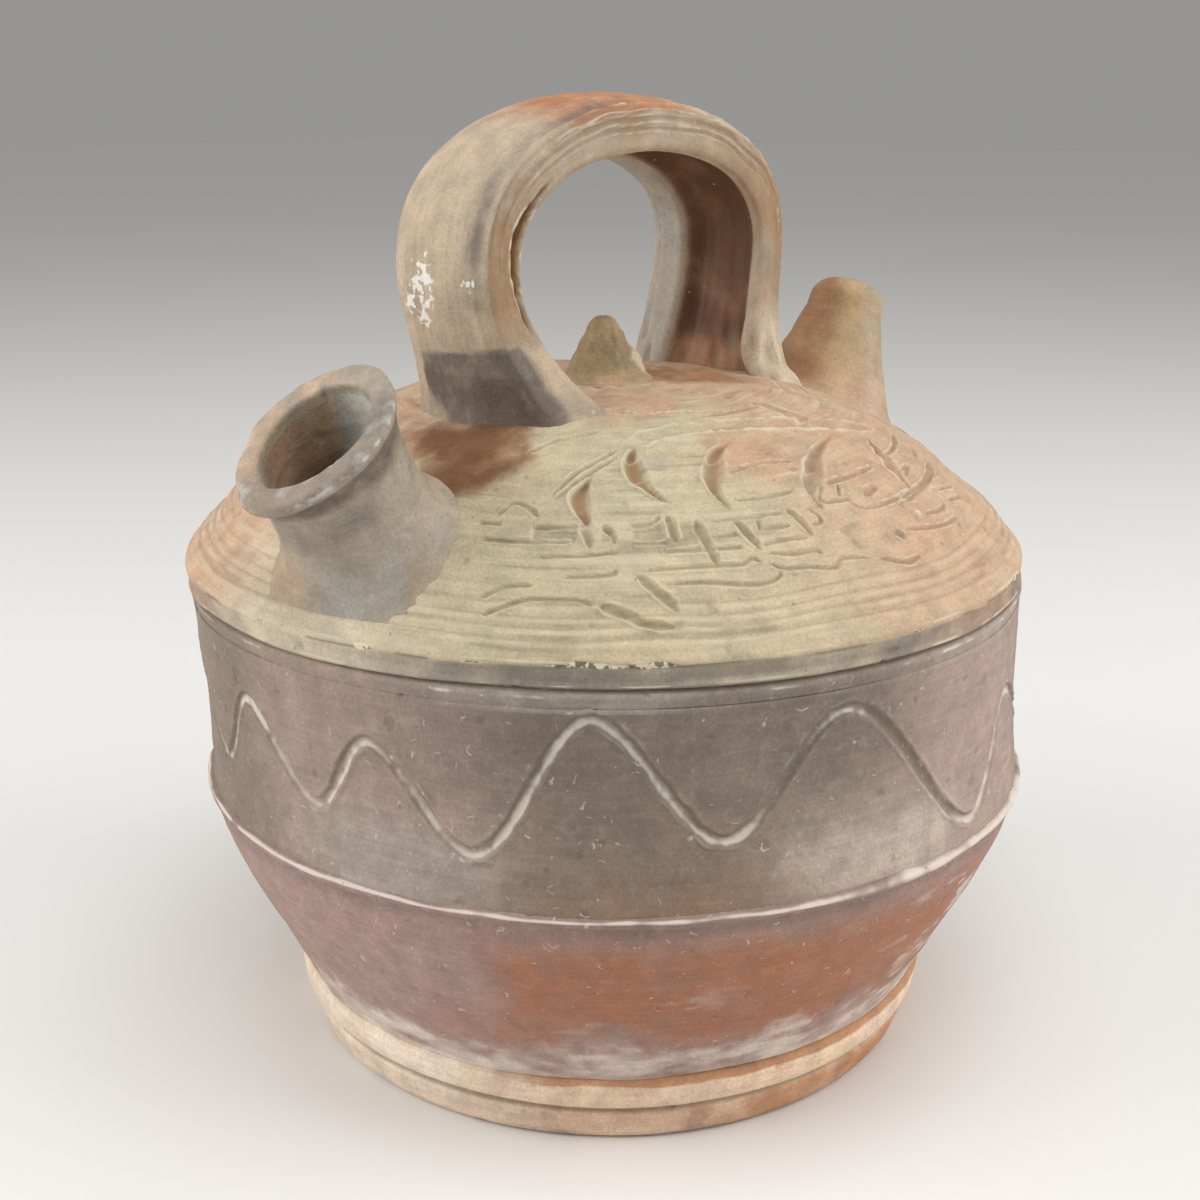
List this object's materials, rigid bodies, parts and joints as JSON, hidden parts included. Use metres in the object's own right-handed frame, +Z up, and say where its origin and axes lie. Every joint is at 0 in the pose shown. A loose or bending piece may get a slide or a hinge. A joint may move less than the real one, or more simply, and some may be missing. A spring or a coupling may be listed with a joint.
{
  "type": "spouted water jug",
  "caption": "Closed unglazed clay drinking jug: squat drum body on a narrow foot, domed top with strap handle, wide filling spout and slim drinking spout.",
  "frame": {"origin": "middle of the flat underside, on the body's turning axis", "axes": "+Z up along the turning axis, handle in the XZ plane, filling spout at -X, drinking spout at +X"},
  "size_m": [0.2329, 0.2218, 0.2465],
  "materials": {
    "pale_foot_clay": "matt, pale, unglazed",
    "belly_clay": "matt, smoke-flashed, unglazed",
    "drum_clay": "matt, smoke-grey, unglazed",
    "dusty_dome_clay": "matt, dusty, unglazed",
    "knob_clay": "matt, dusty, unglazed",
    "strap_clay": "matt, worn by hands, unglazed",
    "filling_spout_clay": "matt, smoke-grey, unglazed",
    "drinking_spout_clay": "matt, unglazed"
  },
  "bodies": {
    "root": {"foot_base": "pale_foot_clay", "belly_wall": "belly_clay", "drum_wall": "drum_clay", "shoulder_dome": "dusty_dome_clay", "top_knob": "knob_clay", "handle": "strap_clay", "filling_spout": "filling_spout_clay", "drinking_spout": "drinking_spout_clay"}
  },
  "joints": []
}
